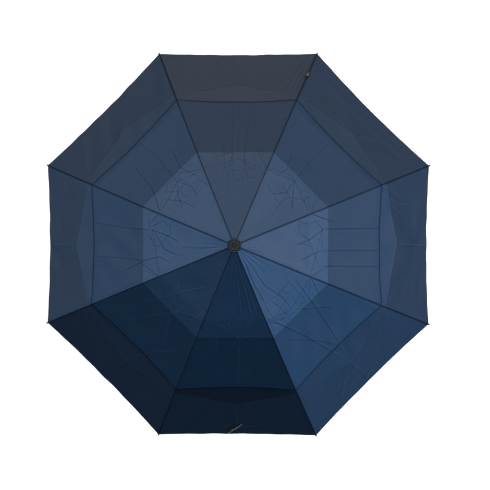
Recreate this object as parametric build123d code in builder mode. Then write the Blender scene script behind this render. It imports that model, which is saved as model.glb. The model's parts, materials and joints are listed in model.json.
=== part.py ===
"""Three-fold umbrella with a vented double canopy of eight panels, open. Millimetres.

+Z runs up the shaft, and z = 0 is the end face of the handle.
Each rib chain is drawn in its own radial plane, where x is the radius, y is the height
and z is the sideways offset. A downward slope is a positive angle.
"""

import os
from math import atan2, cos, degrees, radians, sin

from build123d import *

os.makedirs("parts", exist_ok=True)

# ---------------------------------------------------------------- driving dimensions
RIBS = 8
FIRST_RIB = 22.5

HUB_Z = 603.0
HUB_R = 11.0
TOP_LEN = 176.0
STRUT_LEN = 100.0
MID_LEN = 186.0
TAIL_LEN = 196.0
TOP_SLOPE = 14.0
MID_SLOPE = 25.0
TAIL_SLOPE = 38.0

A_ABOVE_TOP = 2.6
A_ABOVE_MID = 1.9
C_BELOW_MID = 2.2
C_BELOW_TAIL = 1.6
S_ARM = 8.0
S_ANGLE = 222.0
B_ARM = 7.6
B_ANGLE = 198.0
LINK_HOLE_X = 0.35
LINK_HOLE_Y = -1.3
LINK_HOLE_R = 2.75

TOP_HALF_W = 1.1
TOP_HALF_H = 1.8
WALL_IN = 1.5
WALL_OUT = 2.1
BAR_HALF_H = 1.7
LINK_IN = 2.55
LINK_OUT = 3.15
WEB = 0.5
PIN_R = 0.8
FIT = 0.08

TUBE_BOTTOM = (7.0, 6.4, 8.0, 262.0)
TUBE_MIDDLE = (6.1, 5.5, 222.0, 422.0)
TUBE_TOP = (5.2, 4.6, 382.0, 606.0)

GRIP_R = 17.0
CORE_R = 12.0
GRIP_TOP = 78.0
BUTTON_Z = 60.0
GROOVE = (49.2, 50.8)
GROOVE_DEPTH = 0.8
FABRIC = 0.6


# ---------------------------------------------------------------- rib plane geometry
def move(base, slope, along, up):
    """A point from base: along a bar that slopes down by slope degrees, then up square to it."""
    t = radians(slope)
    return (
        base[0] + along * cos(t) + up * sin(t),
        base[1] - along * sin(t) + up * cos(t),
    )


HUB = (HUB_R, HUB_Z)
JOINT_A = move(HUB, TOP_SLOPE, TOP_LEN, A_ABOVE_TOP)
MID_START = move(JOINT_A, MID_SLOPE, 0, -A_ABOVE_MID)
JOINT_C = move(MID_START, MID_SLOPE, MID_LEN, -C_BELOW_MID)
TAIL_START = move(JOINT_C, TAIL_SLOPE, 0, C_BELOW_TAIL)
TIP = move(TAIL_START, TAIL_SLOPE, TAIL_LEN, 0)
JOINT_P = move(HUB, TOP_SLOPE, STRUT_LEN, 0)
RUNNER = (HUB_R, 2 * JOINT_P[1] - HUB_Z)
JOINT_S = move(JOINT_P, TOP_SLOPE - S_ANGLE, S_ARM, 0)
JOINT_B = move(JOINT_A, TOP_SLOPE - B_ANGLE, B_ARM, 0)
STRUT_SLOPE = 180.0 - TOP_SLOPE


def slope_between(a, b):
    """The downward slope of the line from a to b, in degrees."""
    return degrees(atan2(a[1] - b[1], b[0] - a[0]))


LINK_SLOPE = slope_between(JOINT_S, JOINT_B)
LINK_LEN = ((JOINT_B[0] - JOINT_S[0]) ** 2 + (JOINT_B[1] - JOINT_S[1]) ** 2) ** 0.5


def rib_plane(k, offset=0.0):
    """The radial plane of rib k, shifted sideways by offset."""
    t = radians(FIRST_RIB + 360.0 / RIBS * k)
    side = (sin(t), -cos(t), 0)
    return Plane(
        origin=(side[0] * offset, side[1] * offset, 0),
        x_dir=(cos(t), sin(t), 0),
        z_dir=side,
    )


def outline(base, slope, corners):
    """A closed face from (along, up) corners measured on a bar."""
    Polygon(*[move(base, slope, a, u) for a, u in corners], align=None)


def disc(centre, r, mode=Mode.ADD):
    with Locations(centre):
        Circle(r, mode=mode)


def box_on(k, base, slope, x0, x1, low, high, half, mode=Mode.ADD):
    """A bar-aligned block that reaches half to each side of the rib plane."""
    with BuildSketch(rib_plane(k)) as side:
        outline(base, slope, [(x0, low), (x1, low), (x1, high), (x0, high)])
    extrude(side.sketch, amount=half, both=True, mode=mode)


def plate(k, z0, z1, base, slope, corners, bosses):
    """A flat plate between the offsets z0 and z1, with round bosses at its pivots."""
    with BuildSketch(rib_plane(k, z0)) as side:
        outline(base, slope, corners)
        for centre, r in bosses:
            disc(centre, r)
    extrude(side.sketch, amount=z1 - z0)


def hole(k, centre, r, z0=-5.0, z1=5.0):
    with BuildSketch(rib_plane(k, z0)) as round_face:
        disc(centre, r)
    extrude(round_face.sketch, amount=z1 - z0, mode=Mode.SUBTRACT)


def rivet(k, centre, z0, z1, head_r, head_t):
    """A pin with a flat head outside each end. It stays a solid of its own."""
    with BuildSketch(rib_plane(k, z0)) as shank:
        disc(centre, PIN_R)
    extrude(shank.sketch, amount=z1 - z0)
    for start in (z0 - head_t, z1):
        with BuildSketch(rib_plane(k, start)) as head:
            disc(centre, head_r)
        extrude(head.sketch, amount=head_t)


# ---------------------------------------------------------------- the eight rib chains
def top_rib(k):
    with BuildPart() as part:
        box_on(k, HUB, TOP_SLOPE, 1.0, TOP_LEN - 4, -TOP_HALF_H, TOP_HALF_H, TOP_HALF_W)
        with BuildSketch(rib_plane(k)):
            disc(HUB, 2.0)
            outline(
                HUB,
                TOP_SLOPE,
                [
                    (TOP_LEN - 10, -1.8),
                    (TOP_LEN - 1, -1.4),
                    (TOP_LEN + 1.3, 1.9),
                    (TOP_LEN - 1.5, 2.9),
                    (TOP_LEN - 6, 1.8),
                ],
            )
            disc(JOINT_A, 1.5)
        extrude(amount=TOP_HALF_W, both=True)
        # the open side of the channel, left solid at both ends and around the strut pivot
        box_on(k, HUB, TOP_SLOPE, 7, 94, -3, TOP_HALF_H - WEB, TOP_HALF_W - 0.4, Mode.SUBTRACT)
        box_on(k, HUB, TOP_SLOPE, 106, TOP_LEN - 10, -3, TOP_HALF_H - WEB, TOP_HALF_W - 0.4, Mode.SUBTRACT)
        hole(k, HUB, 1.1)
        hole(k, JOINT_P, PIN_R + FIT / 2)
        hole(k, JOINT_A, PIN_R + FIT / 2)
    with BuildPart() as pins:
        rivet(k, JOINT_P, -WALL_OUT - 0.1, WALL_OUT + 0.1, 1.5, 0.3)
    with BuildPart() as pins2:
        rivet(k, JOINT_A, -WALL_OUT - 0.08, WALL_OUT + 0.08, 1.4, 0.27)
    return Compound(children=[part.part, pins.part, pins2.part])


def stretcher(k):
    """A channel bar that straddles the top rib, open towards its mouth, with the lug for the link."""
    with BuildPart() as part:
        # measured from P towards the runner; up on this bar is the side away from the top rib
        box_on(k, JOINT_P, STRUT_SLOPE, -1.2, STRUT_LEN - 13, -BAR_HALF_H, BAR_HALF_H, WALL_OUT)
        with BuildSketch(rib_plane(k)):
            disc(JOINT_P, 2.1)
            disc(JOINT_S, 1.7)
            outline(
                JOINT_P,
                TOP_SLOPE - S_ANGLE,
                [(0, -1.6), (S_ARM, -1.5), (S_ARM, 1.5), (0, 1.6)],
            )
        extrude(amount=WALL_OUT, both=True)
        # the bar tapers into a narrow tab with the eye that sits in the runner
        with BuildSketch(rib_plane(k)):
            outline(
                JOINT_P,
                STRUT_SLOPE,
                [(STRUT_LEN - 18, -1.5), (STRUT_LEN, -1.5), (STRUT_LEN, 1.5), (STRUT_LEN - 18, 1.5)],
            )
            disc(RUNNER, 1.9)
        extrude(amount=1.1, both=True)
        # room for the top rib between the two walls
        with BuildSketch(rib_plane(k)):
            disc(JOINT_P, 12)
        extrude(amount=WALL_IN, both=True, mode=Mode.SUBTRACT)
        # mouth of the channel: the web stays on the side towards the top rib when open
        box_on(k, JOINT_P, STRUT_SLOPE, 0, STRUT_LEN - 19, -BAR_HALF_H + WEB, 3, WALL_IN, Mode.SUBTRACT)
        hole(k, JOINT_P, PIN_R + FIT)
        hole(k, JOINT_S, PIN_R + FIT / 2)
        hole(k, RUNNER, 0.9)
        # only the wall next to the link carries the lug
        with BuildSketch(rib_plane(k, -WALL_OUT - 1)):
            disc(JOINT_S, 1.9)
        extrude(amount=WALL_OUT + 1, mode=Mode.SUBTRACT)
    with BuildPart() as pin:
        with BuildSketch(rib_plane(k, WALL_IN - 0.1)):
            disc(JOINT_S, PIN_R)
        extrude(amount=LINK_OUT + 0.1 - WALL_IN + 0.1)
        with BuildSketch(rib_plane(k, WALL_IN - 0.28)):
            disc(JOINT_S, 1.4)
        extrude(amount=0.22)
        with BuildSketch(rib_plane(k, LINK_OUT + 0.1)):
            disc(JOINT_S, 1.4)
        extrude(amount=0.35)
    return Compound(children=[part.part, pin.part])


def link(k):
    centre = move(JOINT_B, LINK_SLOPE, LINK_HOLE_X, LINK_HOLE_Y)
    with BuildPart() as part:
        plate(
            k,
            LINK_IN,
            LINK_OUT,
            JOINT_S,
            LINK_SLOPE,
            [(0, -1.3), (LINK_LEN, -2.6), (LINK_LEN, 0.6), (LINK_LEN - 8, 1.3), (0, 1.3)],
            [(JOINT_S, 1.9), (centre, LINK_HOLE_R + 0.9)],
        )
        # a raised rib stiffens the strip, as pressed steel has
        with BuildSketch(rib_plane(k, LINK_OUT - 0.05)):
            outline(JOINT_S, LINK_SLOPE, [(6, -0.4), (LINK_LEN - 10, -0.4), (LINK_LEN - 10, 0.4), (6, 0.4)])
        extrude(amount=0.3)
        hole(k, JOINT_S, PIN_R + FIT)
        hole(k, centre, LINK_HOLE_R)
    return part.part


def middle_rib(k):
    with BuildPart() as part:
        box_on(k, MID_START, MID_SLOPE, 9, MID_LEN - 1, -BAR_HALF_H, BAR_HALF_H, WALL_OUT)
        with BuildSketch(rib_plane(k)):
            outline(
                MID_START,
                MID_SLOPE,
                [(-1, 0.4), (10, -BAR_HALF_H), (10, BAR_HALF_H), (1, BAR_HALF_H + 1.6), (-1, A_ABOVE_MID)],
            )
            disc(JOINT_A, 1.7)
            disc(JOINT_B, 1.6)
            outline(
                JOINT_A,
                TOP_SLOPE - B_ANGLE,
                [(0, -1.6), (B_ARM, -1.3), (B_ARM, 1.3), (0, 1.6)],
            )
            outline(
                MID_START,
                MID_SLOPE,
                [
                    (MID_LEN - 6, BAR_HALF_H),
                    (MID_LEN - 6, -BAR_HALF_H),
                    (MID_LEN - 1.5, -3.2),
                    (MID_LEN + 1.4, -3.0),
                    (MID_LEN + 1.5, -1.0),
                    (MID_LEN - 0.5, BAR_HALF_H),
                ],
            )
            disc(JOINT_C, 1.8)
        extrude(amount=WALL_OUT, both=True)
        # the inside of the channel; its web begins clear of joint A and ends short of joint C
        box_on(k, MID_START, MID_SLOPE, 9, MID_LEN - 6, -6, BAR_HALF_H - WEB, WALL_IN, Mode.SUBTRACT)
        box_on(k, MID_START, MID_SLOPE, -14, 9.1, -10, 10, WALL_IN, Mode.SUBTRACT)
        box_on(k, MID_START, MID_SLOPE, MID_LEN - 6.1, MID_LEN + 6, -8, 8, WALL_IN, Mode.SUBTRACT)
        # only the wall next to the link carries the lever
        with BuildSketch(rib_plane(k, -WALL_OUT - 1)):
            disc(JOINT_B, 3.2)
        extrude(amount=WALL_OUT + 1, mode=Mode.SUBTRACT)
        hole(k, JOINT_A, PIN_R + FIT)
        hole(k, JOINT_B, PIN_R + FIT / 2)
        hole(k, JOINT_C, PIN_R + FIT / 2)
        for along in (14, MID_LEN - 12):
            hole(k, move(MID_START, MID_SLOPE, along, 0), 0.55, -WALL_OUT - 1, 0)
    with BuildPart() as pin_b:
        with BuildSketch(rib_plane(k, WALL_IN - 0.1)):
            disc(JOINT_B, PIN_R)
        extrude(amount=LINK_OUT + 0.45 - WALL_IN + 0.1)
        with BuildSketch(rib_plane(k, WALL_IN - 0.28)):
            disc(JOINT_B, 1.3)
        extrude(amount=0.22)
        with BuildSketch(rib_plane(k, LINK_OUT + 0.4)):
            disc(JOINT_B, 3.3)
        extrude(amount=0.35)
    with BuildPart() as pin_c:
        rivet(k, JOINT_C, -WALL_OUT - 0.05, WALL_OUT + 0.05, 1.4, 0.35)
    with BuildPart() as wire:
        for along in (14, MID_LEN - 12):
            with BuildSketch(rib_plane(k, -3.2)):
                disc(move(MID_START, MID_SLOPE, along, 0), 0.5)
            extrude(amount=1.55)
        start = rib_plane(k, -3.0).from_local_coords(Vector(*move(MID_START, MID_SLOPE, 13.6, 0), 0))
        end = rib_plane(k, -3.0).from_local_coords(Vector(*move(MID_START, MID_SLOPE, MID_LEN - 11.6, 0), 0))
        with BuildSketch(Plane(origin=start, z_dir=end - start)):
            Circle(0.55)
        extrude(amount=(end - start).length)
    return Compound(children=[part.part, pin_b.part, pin_c.part, wire.part])


def tail_rib(k):
    start = rib_plane(k).from_local_coords(Vector(*move(TAIL_START, TAIL_SLOPE, 3.0, 0), 0))
    end = rib_plane(k).from_local_coords(Vector(*TIP, 0))
    way = (end - start).normalized()
    with BuildPart() as part:
        with BuildSketch(rib_plane(k)):
            disc(JOINT_C, 1.6)
            outline(
                JOINT_C,
                TAIL_SLOPE,
                [(0, -1.5), (3, -0.2), (12, 0.5), (12, 2.6), (3, 2.7), (0.4, 1.55)],
            )
        extrude(amount=1.0, both=True)
        with BuildSketch(Plane(origin=start, z_dir=way)):
            Circle(1.2)
        extrude(amount=(end - start).length - 1)
        hole(k, JOINT_C, PIN_R + FIT)
    with BuildPart() as cap:
        base = end - way * 9
        with BuildSketch(Plane(origin=base, z_dir=way)):
            Circle(2.0)
            Circle(1.25, mode=Mode.SUBTRACT)
        extrude(amount=8.3)
        with BuildSketch(Plane(origin=base + way * 8.2, z_dir=way)):
            Circle(2.0)
        extrude(amount=1.6)
        fillet(cap.faces().sort_by(Axis(base, way))[-1].edges(), 1.0)
    return Compound(children=[part.part, cap.part])


MAKERS = {
    "top_rib": top_rib,
    "stretcher": stretcher,
    "link": link,
    "middle_rib": middle_rib,
    "tail_rib": tail_rib,
}
for name, maker in MAKERS.items():
    for k in range(RIBS):
        piece = maker(k)
        piece.label = f"{name}_{k + 1}"
        export_step(piece, f"parts/{name}_{k + 1}.step")


# ---------------------------------------------------------------- round parts on the shaft
def ring(r_out, r_in, z0, z1, mode=Mode.ADD):
    """A round wall from z0 to z1."""
    with BuildSketch(Plane.XY.offset(z0)) as wall:
        Circle(r_out)
        if r_in:
            Circle(r_in, mode=Mode.SUBTRACT)
    extrude(wall.sketch, amount=z1 - z0, mode=mode)


def slots(width, r_from, r_to, z0, z1):
    """One radial slot per rib, open outwards."""
    with BuildSketch(Plane.XY.offset(z0)) as cuts:
        for k in range(RIBS):
            with Locations(Location((0, 0, 0), (0, 0, FIRST_RIB + 360.0 / RIBS * k))):
                with Locations(((r_from + r_to) / 2, 0)):
                    Rectangle(r_to - r_from, width)
    extrude(cuts.sketch, amount=z1 - z0, mode=Mode.SUBTRACT)


def save(part, name):
    part.part.label = name
    export_step(part.part, f"parts/{name}.step")


for name, (r_out, r_in, z0, z1) in {
    "tube_bottom": TUBE_BOTTOM,
    "tube_middle": TUBE_MIDDLE,
    "tube_top": TUBE_TOP,
}.items():
    with BuildPart() as tube:
        ring(r_out, r_in, z0, z1)
    save(tube, name)

with BuildPart() as crown:
    ring(13.5, TUBE_TOP[0] + 0.05, HUB_Z - 7, HUB_Z + 3.4)
    chamfer(crown.edges().group_by(Axis.Z)[0].sort_by(SortBy.RADIUS)[-1], 1.2)
    ring(8.0, TUBE_TOP[0] + 0.05, HUB_Z - 15, HUB_Z - 6.9)
    slots(3.0, 8.2, 15.0, HUB_Z - 8, HUB_Z + 4)
    with BuildSketch(Plane.XZ) as groove:
        with Locations((HUB_R, HUB_Z)):
            Circle(0.9)
    revolve(axis=Axis.Z, mode=Mode.SUBTRACT)
save(crown, "crown_notch")

with BuildPart() as crown_ring:
    with BuildSketch(Plane.XZ):
        with Locations((HUB_R, HUB_Z)):
            Circle(0.8)
    revolve(axis=Axis.Z)
save(crown_ring, "crown_ring")

with BuildPart() as washer:
    ring(15.5, 4.7, HUB_Z + 5.3, HUB_Z + 6.6)
    chamfer(washer.edges().group_by(Axis.Z)[-1].sort_by(SortBy.RADIUS)[-1], 0.7)
save(washer, "cap_washer")

with BuildPart() as cap:
    ring(12.0, 0, HUB_Z + 6.7, HUB_Z + 10.6)
    fillet(cap.edges().group_by(Axis.Z)[-1], 1.6)
    ring(8.0, 0, HUB_Z + 9.9, HUB_Z + 11)
    ring(7.6, 0, HUB_Z + 9.9, HUB_Z + 11)
    with BuildSketch(Plane.XY.offset(HUB_Z + 10.1)):
        Circle(7.2)
    extrude(amount=2, mode=Mode.SUBTRACT)
    ring(4.4, 0, HUB_Z - 5, HUB_Z + 6.8)
save(cap, "top_cap")

with BuildPart() as runner:
    ring(10.2, 7.35, RUNNER[1] - 13, RUNNER[1] + 11)
    ring(13.0, 7.35, RUNNER[1] - 5, RUNNER[1] + 5)
    ring(12.2, 7.35, RUNNER[1] - 13, RUNNER[1] - 10)
    slots(4.8, 8.5, 15.0, RUNNER[1] - 14, RUNNER[1] + 12)
    ring(8.4, 7.35, RUNNER[1] - 16, RUNNER[1] + 15)
save(runner, "runner")


# ---------------------------------------------------------------- springs
def coil(origin, axis, length, turns, coil_r, wire_r):
    """An open helical spring along axis."""
    path = Helix(pitch=length / turns, height=length, radius=coil_r, center=origin, direction=axis)
    with BuildPart() as spring:
        with BuildSketch(Plane(origin=path @ 0, z_dir=path % 0)):
            Circle(wire_r)
        sweep(path=path, is_frenet=True)
    return spring


save(coil((0, 0, 9.0), (0, 0, 1), 585.0, 46, 3.4, 0.55), "main_spring")
save(coil((0, -8.3, BUTTON_Z), (0, -1, 0), 3.5, 3, 2.2, 0.3), "button_spring")


# ---------------------------------------------------------------- handle
def block(x, y0, y1, z0, z1, mode=Mode.ADD):
    """A box that is x wide, from y0 to y1 and from z0 to z1."""
    with BuildSketch(Plane.XY.offset(z0)) as base:
        with Locations((0, (y0 + y1) / 2)):
            Rectangle(x, y1 - y0)
    extrude(base.sketch, amount=z1 - z0, mode=mode)


SCREW_ZS = (8.0, 72.0)


def screw_round(z, r, y0, y1, mode=Mode.ADD):
    with BuildSketch(Plane(origin=(0, y0, z), z_dir=(0, 1, 0))) as round_face:
        Circle(r)
    extrude(round_face.sketch, amount=y1 - y0, mode=mode)


with BuildPart() as core:
    ring(CORE_R, TUBE_BOTTOM[0] + 0.05, 3.2, GRIP_TOP)
    block(10.0, -13, -9.8, BUTTON_Z - 8.2, BUTTON_Z + 8.2, Mode.SUBTRACT)
    screw_round(BUTTON_Z, 2.8, -13, -7.7, Mode.SUBTRACT)
    for z in SCREW_ZS:
        screw_round(z, 1.2, 7.0, 13.0, Mode.SUBTRACT)
save(core, "handle_core")


def half_shell(sign):
    with BuildPart() as shell:
        ring(GRIP_R, CORE_R + 0.1, 3.2, GRIP_TOP)
        outer = shell.edges().filter_by(GeomType.CIRCLE).sort_by(SortBy.RADIUS)[-2:]
        chamfer(outer, 1.2)
        ring(GRIP_R + 1, GRIP_R - GROOVE_DEPTH, *GROOVE, Mode.SUBTRACT)
        y0, y1 = (-20, 0.1) if sign > 0 else (-0.1, 20)
        block(40, y0, y1, 0, GRIP_TOP + 5, Mode.SUBTRACT)
        if sign < 0:
            block(9.8, -20, -10, BUTTON_Z - 8.0, BUTTON_Z + 8.0, Mode.SUBTRACT)
        else:
            for z in SCREW_ZS:
                screw_round(z, 1.25, 7.0, 20.0, Mode.SUBTRACT)
                screw_round(z, 2.4, 14.2, 20.0, Mode.SUBTRACT)
    return shell


save(half_shell(-1), "handle_shell_front")
save(half_shell(1), "handle_shell_back")

with BuildPart() as collar:
    ring(15.5, 7.3, GRIP_TOP + 0.2, 85.0)
    chamfer(collar.edges().group_by(Axis.Z)[-1].sort_by(SortBy.RADIUS)[-1], 1.5)
save(collar, "handle_collar")

with BuildPart() as end_cap:
    ring(16.4, 0, 0, 3.0)
    chamfer(end_cap.edges().group_by(Axis.Z)[0], 1.0)
    ring(6.2, 0, 2.9, 8.0)
save(end_cap, "handle_end_cap")

with BuildPart() as button:
    block(9.2, -18.4, -12.3, BUTTON_Z - 7.7, BUTTON_Z + 7.7)
    fillet(button.faces().sort_by(Axis.Y)[0].edges(), 0.8)
save(button, "button")

with BuildPart() as screws:
    for z in SCREW_ZS:
        screw_round(z, 1.15, 7.6, 14.4)
        screw_round(z, 2.3, 14.3, 16.2)
        with BuildSketch(Plane(origin=(0, 15.6, z), z_dir=(0, 1, 0))):
            Rectangle(3.2, 0.6)
            Rectangle(0.6, 3.2)
        extrude(amount=1, mode=Mode.SUBTRACT)
save(screws, "handle_screws")


# ---------------------------------------------------------------- canopies
def dome(stations, drop):
    """A solid under the eight flat panels through the stations, lowered by drop."""
    with BuildPart() as solid:
        for (r0, z0), (r1, z1) in zip(stations, stations[1:]):
            for r, z in ((r0, z0), (r1, z1)):
                with BuildSketch(Plane.XY.offset(z - drop)):
                    RegularPolygon(r, RIBS, rotation=FIRST_RIB)
            loft(ruled=True)
    return solid.part


UPPER_LINE = [
    (11.0, HUB_Z + 5.0),
    move(HUB, TOP_SLOPE, 4.0, 5.0),
    move(JOINT_A, TOP_SLOPE, 1.5, 2.8),
    move(MID_START, MID_SLOPE, MID_LEN + 1, 4.6),
    move(TAIL_START, TAIL_SLOPE, 19.0, 4.7),
]
LOWER_LINE = [
    move(MID_START, MID_SLOPE, 50.0, 3.2),
    move(MID_START, MID_SLOPE, MID_LEN + 1, 3.2),
    move(TAIL_START, TAIL_SLOPE, TAIL_LEN - 2.0, 3.2),
]


def canopy(line, name, hole_r, hole_sides):
    shell = dome(line, 0) - dome(line, FABRIC)
    with BuildPart() as part:
        add(shell)
        with BuildSketch(Plane.XY.offset(HUB_Z - 400)):
            if hole_sides:
                RegularPolygon(hole_r, hole_sides, rotation=FIRST_RIB)
            else:
                Circle(hole_r)
        extrude(amount=500, mode=Mode.SUBTRACT)
    save(part, name)


canopy(UPPER_LINE, "canopy_upper", 6.0, 0)
canopy(LOWER_LINE, "canopy_lower", LOWER_LINE[0][0] + 2.0, RIBS)

# the closing strap hangs inside the hem at the middle of the panel that faces -Y
HEM = LOWER_LINE[-1]
STRAP_R = HEM[0] * cos(radians(22.5)) - 7.0
with BuildPart() as strap:
    with BuildSketch(Plane.XY.offset(HEM[1] - 34.0)):
        with Locations((0, -STRAP_R)):
            Rectangle(19.0, 1.2)
    extrude(amount=32.0)
    with BuildSketch(Plane(origin=(0, -STRAP_R - 0.55, HEM[1] - 26), z_dir=(0, -1, 0))):
        Circle(5.0)
    extrude(amount=1.6)
save(strap, "closure_strap")
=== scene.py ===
"""Open three-fold umbrella: cloth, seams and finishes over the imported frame.

Metres, except the cloth, which is worked out in mm.
"""

import json
import math

import bpy
import numpy as np
from mathutils import Matrix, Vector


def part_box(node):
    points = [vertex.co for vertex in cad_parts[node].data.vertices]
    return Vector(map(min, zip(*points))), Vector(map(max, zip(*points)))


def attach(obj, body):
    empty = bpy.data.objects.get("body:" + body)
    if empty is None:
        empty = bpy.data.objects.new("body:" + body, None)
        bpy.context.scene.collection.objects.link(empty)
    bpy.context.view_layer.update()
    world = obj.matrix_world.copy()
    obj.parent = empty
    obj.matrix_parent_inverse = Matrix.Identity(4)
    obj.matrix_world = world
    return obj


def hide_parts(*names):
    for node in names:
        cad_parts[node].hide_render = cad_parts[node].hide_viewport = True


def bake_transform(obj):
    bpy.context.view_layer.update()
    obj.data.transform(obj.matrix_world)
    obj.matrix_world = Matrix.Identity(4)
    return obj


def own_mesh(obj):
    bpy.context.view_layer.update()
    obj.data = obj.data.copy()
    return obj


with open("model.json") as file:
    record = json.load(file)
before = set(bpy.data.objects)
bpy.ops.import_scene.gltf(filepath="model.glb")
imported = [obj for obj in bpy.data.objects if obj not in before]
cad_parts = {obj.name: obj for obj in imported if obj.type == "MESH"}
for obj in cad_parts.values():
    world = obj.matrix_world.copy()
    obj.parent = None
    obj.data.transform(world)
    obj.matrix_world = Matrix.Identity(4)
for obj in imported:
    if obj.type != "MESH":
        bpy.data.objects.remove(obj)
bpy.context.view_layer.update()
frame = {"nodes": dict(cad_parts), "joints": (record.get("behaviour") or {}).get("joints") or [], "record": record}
nodes = frame["nodes"]
SEED = 11


# ---- rib line, from the joints
def joint_rz(name):
    """A joint's radius and height in mm."""
    p = [j for j in frame["joints"] if j["name"] == name][0]["pos_m"]
    return np.array([math.hypot(p[0], p[1]) * 1000, p[2] * 1000])


def along(slope):
    """Unit (radius, height) step down a bar of this slope."""
    t = math.radians(slope)
    return np.array([math.cos(t), -math.sin(t)])


def square(slope):
    """Unit (radius, height) step square to a bar of this slope, upwards."""
    t = math.radians(slope)
    return np.array([math.sin(t), math.cos(t)])


HUB = joint_rz("crown_to_top_rib_1")
A = joint_rz("top_to_middle_rib_1")
C = joint_rz("middle_to_tail_rib_1")
# slopes of the top, middle and tail ribs in degrees, and the middle rib's length in mm
TOP_SLOPE, MID_SLOPE, TAIL_SLOPE = 14, 25, 38
MID_LENGTH = 186
# mm out along the rib: the two knuckles, the outer hem, the vent hem, and the lower cloth's inner edge
S_A, S_C, S_HEM, S_VENT, S_INNER = 176.0, 362.0, 553.0, 380.0, 226.0
# mm out from the shaft, along a rib: where the creases start at the first knuckle and at the vent corner
R_A, R_VENT = 184, 374
# the middle and tail bars start a little off their pivots
M0 = A - 1.9 * square(MID_SLOPE)
T0 = C + 1.6 * square(TAIL_SLOPE)
CC = M0 + MID_LENGTH * along(MID_SLOPE)
HALF = math.radians(22.5)


def rib_angle(k):
    return math.radians(22.5 + 45 * k)


def line_table(points):
    """The cloth's line over a rib, rounded off where its slope breaks."""
    s = np.array([p[0] for p in points], float)
    rz = np.array([p[1] for p in points], float)
    fine = np.arange(s[0], s[-1] + 0.01, 0.5)
    kernel = np.exp(-0.5 * (np.arange(-24, 25) / 7.0) ** 2)
    kernel /= kernel.sum()
    out = []
    for c in range(2):
        v = np.interp(fine, s, rz[:, c])
        left = v[0] + (v[1] - v[0]) * np.arange(-24, 0)
        right = v[-1] + (v[-1] - v[-2]) * np.arange(1, 25)
        out.append(np.convolve(np.concatenate([left, v, right]), kernel, "valid"))
    return fine, out[0], out[1]


LINES = {
    "upper": line_table(
        [
            (-7, np.array([4.5, HUB[1] + 5.0])),
            (1.5, np.array([13.0, HUB[1] + 4.7])),
            (20, HUB + 20 * along(TOP_SLOPE) + 3.6 * square(TOP_SLOPE)),
            (120, HUB + 120 * along(TOP_SLOPE) + 3.1 * square(TOP_SLOPE)),
            (160, HUB + 160 * along(TOP_SLOPE) + 4.2 * square(TOP_SLOPE)),
            (176, A + 2.9 * square(19.5)),
            (194, M0 + 18 * along(MID_SLOPE) + 4.5 * square(MID_SLOPE)),
            (221, M0 + 45 * along(MID_SLOPE) + 4.1 * square(MID_SLOPE)),
            (346, M0 + 170 * along(MID_SLOPE) + 4.1 * square(MID_SLOPE)),
            (362, CC + 4.6 * square(31)),
            (374, T0 + 12 * along(TAIL_SLOPE) + 5.0 * square(TAIL_SLOPE)),
            (392, T0 + 30 * along(TAIL_SLOPE) + 5.3 * square(TAIL_SLOPE)),
        ]
    ),
    "lower": line_table(
        [
            (215, M0 + 39 * along(MID_SLOPE) + 2.5 * square(MID_SLOPE)),
            (346, M0 + 170 * along(MID_SLOPE) + 2.5 * square(MID_SLOPE)),
            (362, CC + 2.7 * square(31)),
            (377, T0 + 15 * along(TAIL_SLOPE) + 2.5 * square(TAIL_SLOPE)),
            (462, T0 + 100 * along(TAIL_SLOPE) + 2.0 * square(TAIL_SLOPE)),
            (560, T0 + 198 * along(TAIL_SLOPE) + 2.0 * square(TAIL_SLOPE)),
        ]
    ),
}


def rib_line(layer, s):
    fine, r, z = LINES[layer]
    return np.interp(s, fine, r), np.interp(s, fine, z)


def s_at_r(layer, r):
    fine, table, _ = LINES[layer]
    return np.interp(r, table, fine)


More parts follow.
